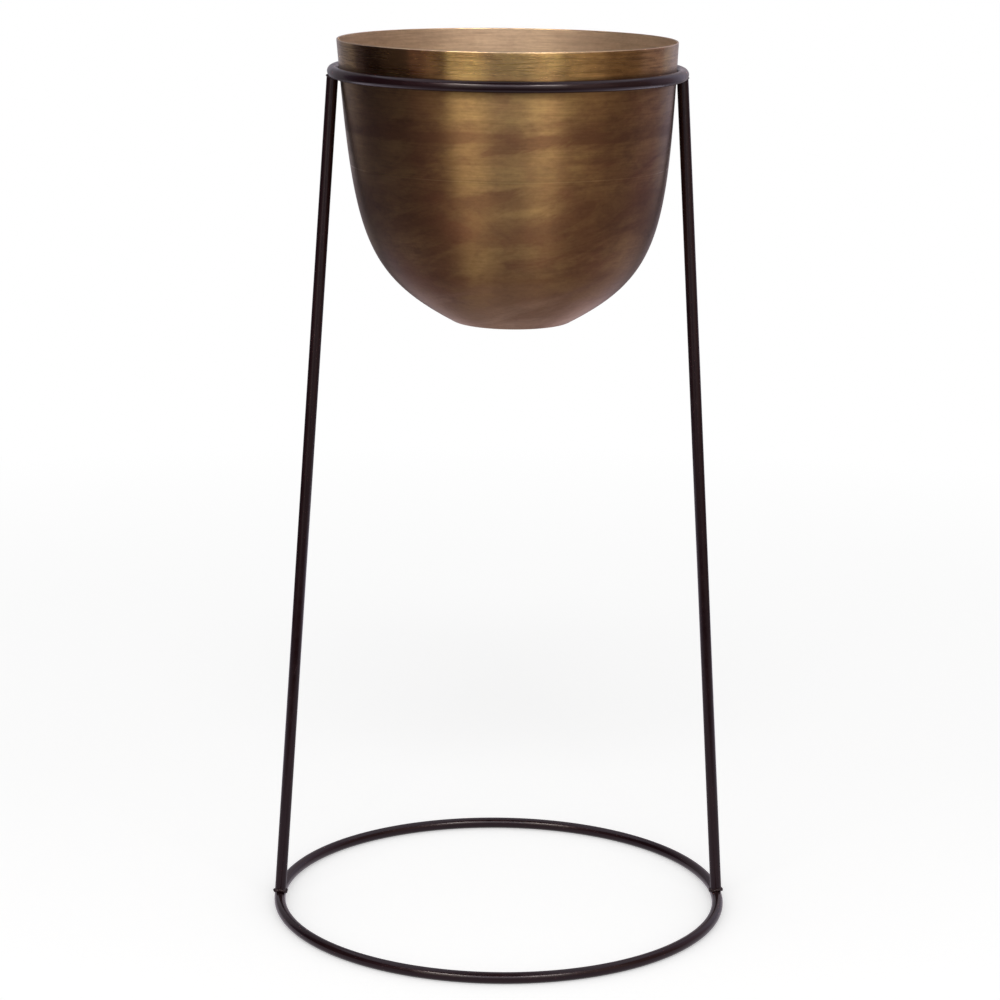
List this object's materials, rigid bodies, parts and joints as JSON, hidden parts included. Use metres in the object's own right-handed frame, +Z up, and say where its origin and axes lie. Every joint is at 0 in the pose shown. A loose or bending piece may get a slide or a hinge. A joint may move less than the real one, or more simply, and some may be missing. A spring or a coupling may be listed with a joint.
{
  "type": "plant stand",
  "caption": "Tall plant stand: a deep spun brass bowl with a small flat foot hangs by its taper in the top ring of a slim round-bar frame with splayed legs and a wide base ring.",
  "frame": {"origin": "on the floor, at the centre of the base ring and on the axis of both rings", "axes": "+Z up along the rings' axis; the legs stand on the X axis; -Y is the front"},
  "size_m": [0.3272, 0.324, 0.6178],
  "materials": {
    "frame_coat": "satin brown-black coat over round steel bar",
    "weld_coat": "the same brown-black coat, lying rougher over weld metal",
    "bowl_brass": "aged brass, brushed round the bowl, with cloudy darker patina"
  },
  "bodies": {
    "frame": {"base_ring": "frame_coat", "base_ring_closing_weld": "weld_coat", "top_ring": "frame_coat", "top_ring_closing_weld": "weld_coat", "left_leg": "frame_coat", "left_foot_weld": "weld_coat", "left_top_weld": "weld_coat", "right_leg": "frame_coat", "right_foot_weld": "weld_coat", "right_top_weld": "weld_coat"},
    "bowl": {"planter_bowl": "bowl_brass"}
  },
  "joints": [
    {"name": "bowl_lift", "type": "slide", "parent": "frame", "child": "bowl", "axis": [0, 0, 1], "range_m": [0, 0.2]}
  ]
}
